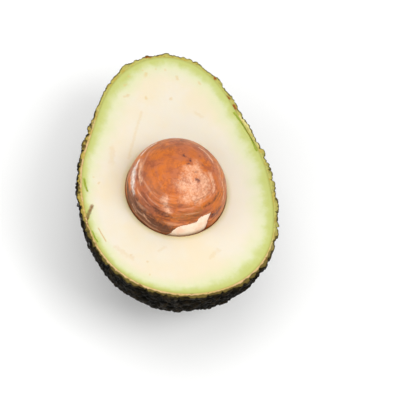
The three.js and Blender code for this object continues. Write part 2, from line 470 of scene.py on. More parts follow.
def fruit_middle(context):
    """The fruit's middle in the frame. The cut outline of the flesh is centred on the packed flesh."""
    fruit, skin = context.scene.avocado_fruit, context.scene.avocado_skin
    rim = grid_directions([RIGHT_ANGLE], np.linspace(0, FULL_TURN, 1441))
    outline = fruit_points(fruit, rim, skin.thickness + fruit.clearance)[0]
    outline_centre = (outline.min(0) + outline.max(0)) / 2
    low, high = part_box("flesh")
    middle = (np.array(low) + np.array(high)) / 2 - outline_centre
    middle[2] = CUT_HEIGHT
    return middle


def seed_middle(context):
    return fruit_middle(context) + np.array(context.scene.avocado_seed.shift)


# Meshes


def ring_mesh(name, rings, attributes):
    """Closed smooth mesh of rings of points. The first ring and the last are poles, one point each.
    Attributes are arrays with a value or a vector for each point of the rings."""
    rows, around = rings.shape[:2]

    def flat(values):
        wide = values.reshape(rows, around, -1)
        return np.vstack([wide[0, :1], wide[1:-1].reshape((rows - 2) * around, -1), wide[-1, :1]])

    points = flat(rings)
    index = 1 + np.arange((rows - 2) * around).reshape(rows - 2, around)
    ahead = np.roll(index, -1, axis=1)
    quads = np.stack([index[:-1], ahead[:-1], ahead[1:], index[1:]], -1).reshape(-1, 4)
    first = np.stack([np.zeros(around, int), ahead[0], index[0]], -1)
    last = np.stack([np.full(around, len(points) - 1), index[-1], ahead[-1]], -1)
    triangles = np.vstack([quads[:, :3], quads[:, [0, 2, 3]], first, last])
    a, b, c = (points[triangles[:, corner]] for corner in range(3))
    outward = np.einsum("ij,ij->", a, np.cross(b, c)) > 0
    step = 1 if outward else -1
    faces = [face[::step].tolist() for part in (quads, first, last) for face in part]
    mesh = bpy.data.meshes.new(name)
    mesh.from_pydata(points.tolist(), [], faces)
    for key, values in attributes.items():
        data = flat(values)
        kind, field = ("FLOAT", "value") if data.shape[1] == 1 else ("FLOAT_VECTOR", "vector")
        mesh.attributes.new(key, kind, "POINT").data.foreach_set(field, data.ravel().astype(np.float32))
    mesh.shade_smooth()
    mesh.update()
    return mesh


def add_piece(name, rings, attributes, material, node):
    """Puts a closed ring mesh into the scene in place of a packed node."""
    mesh = ring_mesh(name, rings, attributes)
    mesh.materials.append(material)
    piece = bpy.data.objects.new(name, mesh)
    bpy.context.scene.collection.objects.link(piece)
    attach(piece, "root")
    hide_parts(node)
    return piece


def chip_share(context, points):
    """Share from 0 to 1 of the nick that is broken out of the rim."""
    from_seed = points - np.array(context.scene.avocado_seed.shift)
    start, end, width = (np.array(value) * MM for value in CHIP)
    distance = np.hypot(stroke_distance(from_seed, start, end), CHIP_REACH_DOWN * from_seed[..., 2])
    return 1 - eased(distance, 0.4 * width, 1.5 * width)


def skin_outside(context, directions):
    """Outside of the skin inside the packed box, and the height from 0 to 1 of its pebbles and warts."""
    fruit, skin = context.scene.avocado_fruit, context.scene.avocado_skin
    base = fruit_points(fruit, directions, 0)
    tops = pebbles(base, skin.pebble_pitch, skin.pebble_least, skin.pebble_groove)
    warts = pebbles(base, skin.wart_pitch, WART_LEAST, skin.wart_groove)
    chip = chip_share(context, base)
    rise = skin.pebble_height * tops + skin.wart_height * (warts - WART_LEVEL)
    rise = np.minimum(rise * (1 - chip) - CHIP_DEPTH * chip, skin.pebble_height)
    low, high = (np.array(corner) - fruit_middle(context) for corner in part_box("skin"))
    outer = np.clip(fruit_points(fruit, directions, -rise), low, high)
    outer[-1, :, 2] = -skin.edge_round
    return outer, tops, warts


def skin_cut_edge(skin, outer_rim, inner_rim):
    """Uneven cut edge of the skin, and the share of the way to the flesh at which each of its rows lies."""
    shares = np.array([0.08, 0.18, 0.32, 0.5, 0.68, 0.84, 0.95])
    edge = outer_rim + shares[:, None, None] * (inner_rim - outer_rim)
    waves = layered_noise(edge, 2.6 * MM, 71)
    edge[..., 2] = -skin.edge_waves * waves - skin.edge_round * (1 - eased(shares, 0, 0.3))[:, None]
    return edge, shares


def skin_rings(context):
    """Outside of the skin from its pole underneath up to the cut, across the cut edge, and down the smooth
    inside. Gives the rings from the fruit's middle, and the attributes: how far in from the outside and out
    from the flesh each point of the cut edge lies, in mm, and the height of the pebbles and of the warts."""
    fruit, skin = context.scene.avocado_fruit, context.scene.avocado_skin
    around = np.linspace(0, FULL_TURN, SKIN_AROUND, endpoint=False)
    outside = grid_directions(RIGHT_ANGLE * np.linspace(0, 1, SKIN_ROWS) ** 0.78, around)
    outer, tops, warts = skin_outside(context, outside)
    inner_rim = fruit_points(fruit, outside[-1:], skin.thickness)[0]
    edge, shares = skin_cut_edge(skin, outer[-1], inner_rim)
    inside = grid_directions(RIGHT_ANGLE * np.linspace(1, 0, SKIN_INNER_ROWS), around)
    inner = fruit_points(fruit, inside, skin.thickness)
    inner[0, :, 2] = -0.4 * skin.edge_waves

    width = np.linalg.norm((inner_rim - outer[-1])[:, :2], axis=-1)
    crossed = np.concatenate([np.zeros(len(outer)), shares, np.ones(len(inner))])[:, None]
    flat_top = np.ones((len(edge) + len(inner), SKIN_AROUND))
    attributes = {
        "depth": crossed * width / MM,
        "from_flesh": (1 - crossed) * width / MM,
        "pebble": np.concatenate([tops, flat_top]),
        "wart": np.concatenate([warts, flat_top]),
    }
    return np.concatenate([outer, edge, inner]), attributes


def rounded_edge(line, inward, radius, turns):
    """Rows of points over a rounded edge. Turns go from 0 at the line to a right angle at the level top."""
    turns = turns[:, None, None]
    edge = line + inward * radius * (1 - np.cos(turns))
    edge[..., 2] = (-radius * (1 - np.sin(turns)))[..., 0]
    return edge


def knife_face(flesh, rim, lip):
    """Level cut face from the skin to the hollow, with a rounded edge at both."""
    run = lip - rim
    inward = run / np.linalg.norm(run, axis=-1)[:, None]
    turns = np.radians([0, 25, 50, 70])
    start = rim + inward * flesh.edge_round
    end = lip - inward * flesh.lip_round
    face = start + np.linspace(0, 1, FACE_ROWS)[:, None, None] * (end - start)
    edge = rounded_edge(rim, inward, flesh.edge_round, turns)
    return np.concatenate([edge, face, rounded_edge(lip, -inward, flesh.lip_round, turns[::-1])])


def face_waves(flesh, place, from_skin, from_seed):
    """Depth of the knife's soft waves, which fade towards the skin and the seed, and of its scratches."""
    soft = layered_noise(place * (1, 0.35, 1), 7 * MM, 81)
    scratches = layered_noise(place * (1, 0.08, 1), 1.3 * MM, 91, 2)
    inner_ground = eased(from_skin, 0.3 * MM, 2.5 * MM) * eased(from_seed, 0.2 * MM, 1.5 * MM)
    return flesh.waves * (soft * inner_ground + 0.16 * scratches)


def face_marks(place):
    """Depth of the gouge, the cracks and the scratch in the cut face."""
    ragged = 0.35 * MM * (soft_noise(place, 0.9 * MM, 17) - 0.5)
    sink = np.zeros(place.shape[:-1])
    for marks, depth in ((GOUGE, 0.7 * MM), (CRACKS, 0.4 * MM), (STREAKS, 0.15 * MM)):
        for start, end, half_width in strokes(marks):
            off = stroke_distance(place, start, end) + ragged
            sink = np.maximum(sink, depth * (1 - eased(off, 0.3 * half_width, 1.4 * half_width)))
    return sink


def flesh_rings(context):
    """Outside of the flesh from its pole underneath, over its rounded edge, across the cut face to the
    rounded lip of the hollow, and down into the hollow. Gives the rings from the fruit's middle, and the
    attributes: how far from the skin and from the seed each point of the cut face lies, in mm, and the
    place along the streaks."""
    scene = context.scene
    fruit, flesh, seed = scene.avocado_fruit, scene.avocado_flesh, scene.avocado_seed
    around = np.linspace(0, FULL_TURN, FLESH_AROUND, endpoint=False)
    shift = np.array(seed.shift)
    inset = scene.avocado_skin.thickness + flesh.seam
    wall_polar = np.linspace(0, RIGHT_ANGLE - flesh.edge_round / WALL_REACH, WALL_ROWS)
    wall = fruit_points(fruit, grid_directions(wall_polar, around), inset)
    rim = fruit_points(fruit, grid_directions([RIGHT_ANGLE], around), inset)[0]
    lip_polar = math.acos((shift[2] + flesh.lip_round) / (seed.reaches[2] + flesh.seed_gap))
    hollow_directions = grid_directions(np.linspace(lip_polar, 0, HOLLOW_ROWS), around)
    hollow = shift + seed_points(seed, hollow_directions, -flesh.seed_gap)
    lip = hollow[0] * (1, 1, 0)

    face = knife_face(flesh, rim, lip)
    place = face - shift
    from_skin = np.stack([outline_distance(row, rim) for row in face])
    from_seed = np.linalg.norm(place[..., :2], axis=-1) - np.linalg.norm((lip - shift)[:, :2], axis=-1)
    face[..., 2] -= np.maximum(face_waves(flesh, place, from_skin, from_seed), face_marks(place))

    at_wall, at_hollow = np.zeros(wall.shape[:2]), np.zeros(hollow.shape[:2])
    skin_map = np.concatenate([at_wall, from_skin, at_hollow + FAR_OFF])
    seed_map = np.concatenate([at_wall + FAR_OFF, from_seed, at_hollow])
    spokes = np.stack([np.cos(around), np.sin(around)], -1)
    spokes = np.broadcast_to(spokes, (*skin_map.shape, 2))
    streaks = np.concatenate([spokes, skin_map[..., None]], -1)
    attributes = {"from_skin": skin_map / MM, "from_seed": seed_map / MM, "streaks": streaks}
    return np.concatenate([wall, face, hollow]), attributes


def outline_distance(points, outline):
    """Distance in plan from each point to the nearest point of an outline."""
    gaps = points[:, None, :2] - outline[None, :, :2]
    return np.sqrt((gaps**2).sum(-1).min(1))


def tear_edge(seed, bearings):
    """Unit vectors to the torn edge at bearings round the tear's middle, and the unit vector to that middle.
    The outline lies flat in front of the seed and is carried straight back onto it."""
    across = np.array([-math.sin(seed.tear_azimuth), math.cos(seed.tear_azimuth), 0])
    outward = np.array([math.cos(seed.tear_azimuth), math.sin(seed.tear_azimuth), 0])
    corners = np.array(TEAR_OUTLINE) - TEAR_MIDDLE
    steps = np.linspace(0, 1, 40, endpoint=False)[None, :, None]
    sides = (corners[:, None] + steps * (np.roll(corners, -1, 0) - corners)[:, None]).reshape(-1, 2)
    side_bearings = np.arctan2(sides[:, 1], sides[:, 0])
    order = np.argsort(side_bearings)
    reach = np.hypot(sides[:, 0], sides[:, 1])[order]
    radius = np.interp(bearings, side_bearings[order], reach, period=FULL_TURN)
    ring = np.stack([np.cos(bearings) * 4, np.sin(bearings) * 4, 0 * bearings], -1)
    radius = radius + 0.5 * (layered_noise(ring, 0.8, 31) - 0.5) + 0.35 * (soft_noise(ring, 0.16, 37) - 0.5)

    def onto_seed(right, up):
        ahead = np.sqrt((seed.reaches[2] / MM) ** 2 - right**2 - up**2)
        place = right[..., None] * across + up[..., None] * np.array([0, 0, 1]) + ahead[..., None] * outward
        return place / np.linalg.norm(place, axis=-1, keepdims=True)

    edge = onto_seed(TEAR_MIDDLE[0] + radius * np.cos(bearings), TEAR_MIDDLE[1] + radius * np.sin(bearings))
    return edge, onto_seed(np.array(TEAR_MIDDLE[0]), np.array(TEAR_MIDDLE[1]))


def seed_relief(seed, directions):
    """How far the seed's surface lies under its smooth form: soft lumps, and creases round the vertical.
    Gives the place along and across the creases too: both parts of the level bearing, and the angle
    from the top."""
    place = directions * seed.reaches[2]
    bearing = np.arctan2(directions[..., 1], directions[..., 0])
    fall = np.arccos(np.clip(directions[..., 2], -1, 1)) + 0.12 * (layered_noise(place, 12 * MM, 43) - 0.5)
    lines = np.stack([np.cos(bearing) * np.sin(fall), np.sin(bearing) * np.sin(fall), fall], -1)
    lumps = layered_noise(place, 9 * MM, 41)
    creases = layered_noise(lines * (2.4, 2.4, 14), 1.0, 47)
    return seed.lumps * (1 - lumps) + seed.creases * (1 - np.abs(2 * creases - 1)), lines


def coat_rings(context):
    """Outside of the seed coat from the pole opposite the tear to the torn edge, and the inside back to that
    pole. Gives the attributes too: the distance to the torn edge in mm, and the place along the creases."""
    seed = context.scene.avocado_seed
    edge, middle = tear_edge(seed, np.linspace(0, FULL_TURN, COAT_AROUND, endpoint=False))
    wide = np.arccos(np.clip(edge @ -middle, -1, 1))[None, :, None]
    outer_rows = np.linspace(1, 0, COAT_ROWS) ** 1.25
    inner_rows = np.linspace(1, 0, COAT_INNER_ROWS)[::-1] ** 1.25

    def circles(rows):
        shares = rows[:, None, None]
        return (np.sin(shares * wide) * -middle + np.sin((1 - shares) * wide) * edge) / np.sin(wide)

    def to_edge(rows):
        return rows[:, None] * wide[..., 0] * seed.reaches[2]

    outside, inside = circles(outer_rows), circles(inner_rows)
    outer_relief, outer_lines = seed_relief(seed, outside)
    inner_relief, inner_lines = seed_relief(seed, inside)
    thinner = seed.coat_thickness - seed.torn_thickness
    taper = thinner * (1 - eased(to_edge(outer_rows), 0, 1.2 * MM))
    outer = seed_points(seed, outside, outer_relief + taper)
    inner = seed_points(seed, inside, inner_relief + seed.coat_thickness)
    attributes = {
        "from_tear": np.concatenate([to_edge(outer_rows), to_edge(inner_rows)]) / MM,
        "lines": np.concatenate([outer_lines, inner_lines]),
    }
    return np.concatenate([outer, inner]), attributes


def kernel_rings(context):
    """Pale seed under the coat, a hair inside the coat's inner face."""
    seed = context.scene.avocado_seed
    around = np.linspace(0, FULL_TURN, KERNEL_AROUND, endpoint=False)
    directions = grid_directions(np.linspace(0, math.pi, KERNEL_ROWS), around)
    relief, lines = seed_relief(seed, directions)
    grain = 0.10 * MM * layered_noise(directions * seed.reaches[2], 2.2 * MM, 61)
    inset = relief + seed.coat_thickness + KERNEL_GAP + grain
    return seed_points(seed, directions, inset), {"lines": lines}


# Shader nodes


def filled(tree, made, inputs):
    """Node with its inputs set. They go by name or place, and each is a value or a socket to link."""
    for key, value in dict(inputs).items():
        if isinstance(value, bpy.types.NodeSocket):
            tree.links.new(value, made.inputs[key])
        else:
            made.inputs[key].default_value = value
    return made


def node(tree, kind, inputs=(), **settings):
    """Adds a shader node with inputs and settings."""
    made = tree.nodes.new("ShaderNode" + kind)
    for key, value in settings.items():
        setattr(made, key, value)
    return filled(tree, made, inputs)


def maths(tree, operation, first, second=0.0):
    return node(tree, "Math", {0: first, 1: second}, operation=operation).outputs[0]


def times(tree, first, second):
    return maths(tree, "MULTIPLY", first, second)


def plus(tree, first, second):
    return maths(tree, "ADD", first, second)


def ranged(tree, value, low, high, start=0.0, end=1.0):
    """Value carried smoothly from low..high to start..end, and held at the ends."""
    inputs = {"Value": value, "From Min": low, "From Max": high, "To Min": start, "To Max": end}
    return node(tree, "MapRange", inputs, interpolation_type="SMOOTHSTEP").outputs["Result"]


def blended(tree, factor, first, second):
    """Colour between two colours."""
    pair = [value if isinstance(value, bpy.types.NodeSocket) else (*value, 1) for value in (first, second)]
    return node(tree, "Mix", {0: factor, 6: pair[0], 7: pair[1]}, data_type="RGBA").outputs[2]


def noise(tree, place, scale, detail=2.0, roughness=0.5):
    inputs = {"Vector": place, "Scale": scale, "Detail": detail, "Roughness": roughness}
    return node(tree, "TexNoise", inputs).outputs["Fac"]


def object_place(tree):
    return node(tree, "TexCoord").outputs["Object"]


def attribute(tree, name, output="Fac"):
    return node(tree, "Attribute", attribute_name=name, attribute_type="GEOMETRY").outputs[output]


def new_group(name, inputs, outputs):
    """Empty shader node group with float inputs and outputs, and vector ones where the name ends in place."""
    group = bpy.data.node_groups.new(name, "ShaderNodeTree")
    for names, side in ((inputs, "INPUT"), (outputs, "OUTPUT")):
        for socket in names:
            kind = "NodeSocketVector" if socket.lower().endswith("place") else "NodeSocketFloat"
            group.interface.new_socket(socket, in_out=side, socket_type=kind)
    return group, group.nodes.new("NodeGroupInput").outputs, group.nodes.new("NodeGroupOutput").inputs


def mottle_group():
    """Mask of soft patches: layered noise between a low and a high limit."""
    group, given, out = new_group("Mottle", ("Place", "Scale", "Low", "High"), ("Mask",))
    patches = noise(group, given["Place"], given["Scale"], 4.0, 0.6)
    group.links.new(ranged(group, patches, given["Low"], given["High"]), out["Mask"])
    return group


def mark_group():
    """Mask of a stroke between two places with a ragged outline. A spot has both places the same."""
    names = ("Place", "Start Place", "End Place", "Half width", "Ragged")
    group, given, out = new_group("Mark", names, ("Mask",))

    def vector(operation, first, second, output=0):
        return node(group, "VectorMath", {0: first, 1: second}, operation=operation).outputs[output]

    offset = vector("SUBTRACT", given["Place"], given["Start Place"])
    run = vector("SUBTRACT", given["End Place"], given["Start Place"])
    square = maths(group, "MAXIMUM", vector("DOT_PRODUCT", run, run, "Value"), 1e-9)
    along = maths(group, "DIVIDE", vector("DOT_PRODUCT", offset, run, "Value"), square)
    clamped = node(group, "Clamp", {"Value": along}).outputs[0]
    nearest = node(group, "VectorMath", {0: run, "Scale": clamped}, operation="SCALE").outputs[0]
    distance = vector("LENGTH", vector("SUBTRACT", offset, nearest), (0, 0, 0), "Value")
    fineness = maths(group, "DIVIDE", 0.7, given["Half width"])
    wobble = maths(group, "SUBTRACT", noise(group, given["Place"], fineness, 4.0, 0.6), 0.5)
    wobble = times(group, times(group, wobble, given["Ragged"]), given["Half width"])
    ragged = plus(group, distance, wobble)
    soft = times(group, given["Half width"], 1.5)
    core = times(group, given["Half width"], 0.1)
    group.links.new(ranged(group, ragged, core, soft, 1.0, 0.0), out["Mask"])
    return group


def grain_group():
    """Height of fine surface grain: a coarse and a fine noise added up."""
    group, given, out = new_group("Grain", ("Place", "Scale", "Fine share"), ("Height",))
    coarse = noise(group, given["Place"], given["Scale"], 2.0)
    fine = noise(group, given["Place"], times(group, given["Scale"], 3.7), 3.0, 0.65)
    both = plus(group, coarse, times(group, fine, given["Fine share"]))
    group.links.new(both, out["Height"])
    return group


def effect(tree, group_name, output, **inputs):
    """Places one of the effect groups. Input names have underscores for spaces."""
    made = tree.nodes.new("ShaderNodeGroup")
    made.node_tree = bpy.data.node_groups[group_name]
    named = {key.replace("_", " "): value for key, value in inputs.items()}
    return filled(tree, made, named).outputs[output]


def mottle(tree, place, scale, low, high):
    return effect(tree, "Mottle", "Mask", Place=place, Scale=scale, Low=low, High=high)


def marked(tree, place, marks, onto, ragged):
    """Mask of marks. The function onto gives the place in the frame of a plan position of a mark."""
    mask = 0.0
    for start, end, half_width in strokes(marks):
        ends = {"Start_Place": onto(start), "End_Place": onto(end)}
        stroke = effect(tree, "Mark", "Mask", Place=place, Half_width=half_width, Ragged=ragged, **ends)
        mask = maths(tree, "MAXIMUM", stroke, mask)
    return mask


def marked_on_cut(tree, axes, middle, marks, ragged):
    """Mask of marks on the cut face, carried straight up and down from it."""

    def onto_cut(point):
        return Vector((*(middle[:2] + point), CUT_HEIGHT))

    level = node(tree, "CombineXYZ", {"X": axes["X"], "Y": axes["Y"], "Z": CUT_HEIGHT}).outputs[0]
    return marked(tree, level, marks, onto_cut, ragged)


def new_material(name, **constants):
    """Material with one Principled shader. The constants are set on the shader's own sockets."""
    material = bpy.data.materials.new(name)
    material.use_nodes = True
    shader = material.node_tree.nodes["Principled BSDF"]
    for key, value in constants.items():
        shader.inputs[key.replace("_", " ")].default_value = value
    return material, material.node_tree, shader


def finish_material(tree, shader, base, roughness, height, depth):
    """Links the colour, the roughness and the bump of a material."""
    tree.links.new(base, shader.inputs["Base Color"])
    tree.links.new(roughness, shader.inputs["Roughness"])
    bump = node(tree, "Bump", {"Height": height, "Distance": depth, "Strength": 1.0})
    tree.links.new(bump.outputs["Normal"], shader.inputs["Normal"])


def outside_colour(tree, skin, place, axes, dry, painted_shade_ramp):
    """Outside of the skin: dark with brown patches, painted shade in the grooves, paler wart tips with
    painted glints that fade towards the blossom end as painted shade, and olive at the cut.
    """
    base = blended(tree, mottle(tree, place, 420.0, 0.42, 0.68), skin.dark, skin.brown)
    # Painted shade: the grooves between the pebbles are darkened
    groove_shade = ranged(tree, attribute(tree, "pebble"), 0.1, 0.55, 1.0, 0.0)
    base = blended(tree, groove_shade, base, [0.35 * c for c in skin.dark])
    # Paler wart tips: partly their own tone, partly painted glints; they fade towards the blossom end as
    # painted shade
    tips_and_glints = ranged(tree, attribute(tree, "wart"), 0.5, 0.95, 0.0, 0.6)
    tips_and_glints = times(tree, tips_and_glints, mottle(tree, place, 700.0, 0.46, 0.66))
    tips_and_glints = times(tree, tips_and_glints, painted_shade_ramp)
    base = blended(tree, tips_and_glints, base, skin.tip_and_glint)
    near_cut = ranged(tree, axes["Z"], CUT_HEIGHT - 3.0 * MM, CUT_HEIGHT - 0.2 * MM)
    near_cut = times(tree, near_cut, ranged(tree, dry, 0.0, 1.0, 1.0, 0.15))
    near_cut = times(tree, near_cut, mottle(tree, place, 260.0, 0.45, 0.6))
    base = blended(tree, near_cut, base, skin.olive)
    at_cut = ranged(tree, axes["Z"], CUT_HEIGHT - 1.4 * MM, CUT_HEIGHT - 0.4 * MM)
    at_cut = times(tree, at_cut, ranged(tree, dry, 0.0, 1.0, 0.9, 0.1))
    return blended(tree, at_cut, base, skin.olive)


def cut_edge_colour(tree, skin, place, axes, middle, dry, from_outside, from_flesh):
    """Cut edge of the skin: fresh or dried rind with gold, a browner outer part, rust and an olive line."""
    blossom_end = ranged(tree, axes["Y"], -24 * MM, -10 * MM, 0.85, 0.0)
    golden = ranged(tree, blossom_end, 0.0, 0.85, 0.7, 0.4)
    golden = times(tree, golden, mottle(tree, place, 330.0, 0.48, 0.58))
    cut = blended(tree, dry, skin.rind, skin.pale_rind)
    cut = blended(tree, golden, cut, skin.gold)
    outer_olive = maths(tree, "MAXIMUM", mottle(tree, place, 420.0, 0.47, 0.60), blossom_end)
    outer = blended(tree, outer_olive, skin.tan, skin.olive)
    outer_share = times(tree, ranged(tree, from_flesh, 0.35, 0.75), ranged(tree, dry, 0.0, 1.0, 0.4, 1.0))
    cut = blended(tree, outer_share, cut, outer)
    rusty = times(tree, mottle(tree, place, 620.0, 0.58, 0.68), ranged(tree, dry, 0.0, 1.0, 0.3, 0.7))
    cut = blended(tree, rusty, cut, skin.rust)
    cut = blended(tree, marked_on_cut(tree, axes, middle, LIFTED_EDGE, 2.0), cut, skin.lifted)
    cut = blended(tree, marked_on_cut(tree, axes, middle, RUST_SPOTS, 2.4), cut, skin.red_rust)
    return blended(tree, ranged(tree, from_outside, 0.1, 0.5, 0.9, 0.0), cut, skin.olive)


def skin_material(skin, middle):
    """Material of the skin. The side of the cut edge that faces the blossom end and the left has dried."""
    material, tree, shader = new_material("Avocado skin", Specular_IOR_Level=0.02, Coat_Roughness=0.15)
    place = object_place(tree)
    axes = node(tree, "SeparateXYZ", {0: place}).outputs
    across = maths(tree, "SUBTRACT", middle[0] + middle[1], plus(tree, axes["X"], axes["Y"]))
    dry = ranged(tree, across, -20 * MM, 9 * MM)
    # Painted shade: the wart tips' paler colour and their wax fade towards the blossom end
    painted_shade_ramp = ranged(tree, axes["Y"], -42 * MM, -12 * MM, 0.2, 1.0)
    outside = outside_colour(tree, skin, place, axes, dry, painted_shade_ramp)

    depth = attribute(tree, "depth")
    uneven = times(tree, maths(tree, "SUBTRACT", noise(tree, place, 700.0, 3.0), 0.5), 1.3)
    from_outside = plus(tree, depth, uneven)
    from_flesh = plus(tree, attribute(tree, "from_flesh"), uneven)
    cut = cut_edge_colour(tree, skin, place, axes, middle, dry, from_outside, from_flesh)
    on_cut = times(tree, ranged(tree, from_outside, -0.1, 0.15), ranged(tree, depth, 0.02, 0.12))
    base = blended(tree, on_cut, outside, cut)

    rough = ranged(tree, noise(tree, place, 900.0), 0.3, 0.7, 0.36, 0.60)
    grain = effect(tree, "Grain", "Height", Place=place, Scale=900.0, Fine_share=0.6)
    wax = ranged(tree, attribute(tree, "wart"), 0.5, 0.85, 0.0, 0.9)
    wax = times(tree, wax, ranged(tree, depth, 0.0, 0.1, 1.0, 0.0))
    wax = times(tree, wax, mottle(tree, place, 700.0, 0.44, 0.56))
    tree.links.new(times(tree, wax, painted_shade_ramp), shader.inputs["Coat Weight"])
    finish_material(tree, shader, base, rough, grain, 0.3 * MM)
    return material


def flesh_material(flesh, middle):
    """Material of the flesh. The green rim is narrower at the lower left."""
    material, tree, shader = new_material(
        "Avocado flesh",
        Specular_IOR_Level=0.5,
        Subsurface_Weight=0.22,
        Subsurface_Scale=2.2 * MM,
        Subsurface_Radius=(1.0, 0.75, 0.35),
    )
    place = object_place(tree)
    axes = node(tree, "SeparateXYZ", {0: place}).outputs
    from_skin = attribute(tree, "from_skin")
    lean = plus(tree, axes["X"], times(tree, axes["Y"], 0.6))
    spread = ranged(tree, lean, -44 * MM, -8 * MM, 2.3, 1.13)
    patchy = noise(tree, attribute(tree, "streaks", "Vector"), 5.0, 4.0, 0.55)
    patchy = ranged(tree, patchy, 0.3, 0.7, -0.7, 0.7)
    blotchy = ranged(tree, noise(tree, place, 240.0, 3.0, 0.6), 0.3, 0.7, -0.8, 0.8)
    depth = plus(tree, times(tree, from_skin, spread), plus(tree, patchy, blotchy))
    base = blended(tree, mottle(tree, place, 45.0, 0.40, 0.62), flesh.cream, flesh.warm)
    base = blended(tree, ranged(tree, depth, 1.8, 12.0, 1.0, 0.0), base, flesh.pale_green)
    base = blended(tree, ranged(tree, depth, 0.6, 5.6, 0.95, 0.0), base, flesh.green)
    base = blended(tree, ranged(tree, from_skin, 0.0, 1.0, 0.7, 0.0), base, flesh.edge_green)
    # Ring round the seed: partly a yellower tint, partly painted shade of the seam between flesh and seed
    near_seed_tint_and_shade = ranged(tree, attribute(tree, "from_seed"), 0.1, 2.2, 0.75, 0.0)
    base = blended(tree, near_seed_tint_and_shade, base, flesh.hollow)
    for marks, tint, strength, ragged in (
        (FAINT_THREADS, flesh.thread, 0.22, 3.5),
        (THREADS, flesh.thread, 0.42, 2.6),
        (CRACKS, flesh.moss, 0.95, 2.0),
        (STREAKS, flesh.streak, 0.7, 2.6),
        (GOUGE, flesh.bruise, 0.9, 2.4),
        (GOUGE_HEART, flesh.gouge_heart, 0.8, 2.2),
        (GOUGE_TIP, flesh.gouge_tip, 0.9, 2.2),
    ):
        mask = marked_on_cut(tree, axes, middle, marks, ragged)
        base = blended(tree, times(tree, mask, strength), base, tint)
    rough = ranged(tree, noise(tree, place, 300.0), 0.3, 0.7, 0.36, 0.50)
    grain = effect(tree, "Grain", "Height", Place=place, Scale=700.0, Fine_share=0.4)
    finish_material(tree, shader, base, rough, grain, 0.03 * MM)
    return material


def coat_ground(tree, seed, place):
    """Colour of the seed coat under its marks: brown with orange and red patches, and fine veins."""
    base = blended(tree, mottle(tree, place, 150.0, 0.42, 0.60), seed.brown, seed.orange)
    base = blended(tree, times(tree, mottle(tree, place, 260.0, 0.48, 0.64), 0.7), base, seed.red)
    ridges = maths(tree, "ABSOLUTE", maths(tree, "SUBTRACT", noise(tree, place, 230.0, 5.0, 0.62), 0.5))
    veins = times(tree, ranged(tree, ridges, 0.0, 0.045, 0.55, 0.0), mottle(tree, place, 120.0, 0.4, 0.6))
    return blended(tree, veins, base, seed.vein)


def coat_marks(tree, seed, middle, place, base):
    """Colour of the seed coat with its marks laid over each other, each broken up by fine grit. Some marks
    are painted highlight, painted sheen and painted shade.
    """

    def onto_seed(point):
        rise = math.sqrt(seed.reaches[2] ** 2 - point @ point)
        direction = np.array((*point, rise)) / seed.reaches[2]
        return Vector(middle + seed_points(seed, direction, 0.0))

    grit = noise(tree, place, 1300.0, 4.0, 0.75)
    for marks, tint, strength, ragged in (
        (COAT_ORANGE, seed.orange, 0.8, 1.6),
        (COAT_GOLDEN, seed.golden, 1.3, 1.6),
        (COAT_ROSY, seed.rosy, 0.7, 1.6),
        (COAT_UMBER_SHADE, seed.umber_shade, 2.4, 1.8),
        (COAT_DARK_AND_SHADE, seed.dark, 0.9, 1.4),
        (COAT_BLOOM_AND_SHEEN, seed.bloom_and_sheen, 0.9, 2.4),
        (COAT_PAINTED_HIGHLIGHT, seed.painted_highlight, 1.2, 1.6),
        (COAT_PLUM_AND_SHADE, seed.plum_and_shade, 1.2, 3.0),
    ):
        mask = marked(tree, place, marks, onto_seed, ragged)
        specks = ranged(tree, plus(tree, grit, times(tree, mask, 0.2)), 0.45, 0.88, 0.15, 1.0)
        mask = times(tree, mask, specks)
        base = blended(tree, times(tree, mask, strength), base, tint)
    return base


def coat_material(seed, middle):
    """Material of the seed coat: its ground, its marks with painted highlight, sheen and shade among them,
    and pale and dark lines down its side.
    """
    material, tree, shader = new_material("Seed coat", Specular_IOR_Level=0.3, Coat_Roughness=0.3)
    place = object_place(tree)
    base = coat_marks(tree, seed, middle, place, coat_ground(tree, seed, place))
    lines = attribute(tree, "lines", "Vector")
    fine_lines = node(tree, "VectorMath", {0: lines, 1: (2.0, 2.0, 14)}, operation="MULTIPLY").outputs[0]
    band = noise(tree, fine_lines, 1.0, 4.0, 0.65)
    fall = node(tree, "SeparateXYZ", {0: lines}).outputs["Z"]
    down_the_side = ranged(tree, fall, 0.4, 1.1, 0.1, 1.0)
    pale_lines = times(tree, ranged(tree, band, 0.52, 0.66, 0.0, 0.3), down_the_side)
    dark_lines = times(tree, ranged(tree, band, 0.48, 0.35, 0.0, 0.55), down_the_side)
    base = blended(tree, pale_lines, base, seed.bloom_and_sheen)
    base = blended(tree, dark_lines, base, seed.dark)
    base = blended(tree, ranged(tree, attribute(tree, "from_tear"), 0.0, 0.5, 0.35, 0.0), base, seed.dark)
    rough = ranged(tree, noise(tree, place, 420.0, 3.0), 0.3, 0.7, 0.34, 0.52)
    grain = effect(tree, "Grain", "Height", Place=place, Scale=1100.0, Fine_share=0.5)
    polish = times(tree, mottle(tree, place, 500.0, 0.35, 0.6), 0.15)
    tree.links.new(polish, shader.inputs["Coat Weight"])
    finish_material(tree, shader, base, rough, plus(tree, grain, times(tree, pale_lines, 1.2)), 0.045 * MM)
    return material


def kernel_material(seed):
    material, tree, shader = new_material("Seed kernel", Specular_IOR_Level=0.4)
    place = object_place(tree)
    base = blended(tree, mottle(tree, place, 260.0, 0.45, 0.65), seed.kernel, seed.kernel_pink)
    stains = times(tree, mottle(tree, place, 700.0, 0.56, 0.72), 0.3)
    base = blended(tree, stains, base, seed.bloom_and_sheen)
    rough = ranged(tree, noise(tree, place, 500.0), 0.3, 0.7, 0.45, 0.65)
    grain = effect(tree, "Grain", "Height", Place=place, Scale=800.0, Fine_share=0.5)
    finish_material(tree, shader, base, rough, grain, 0.05 * MM)
    return material


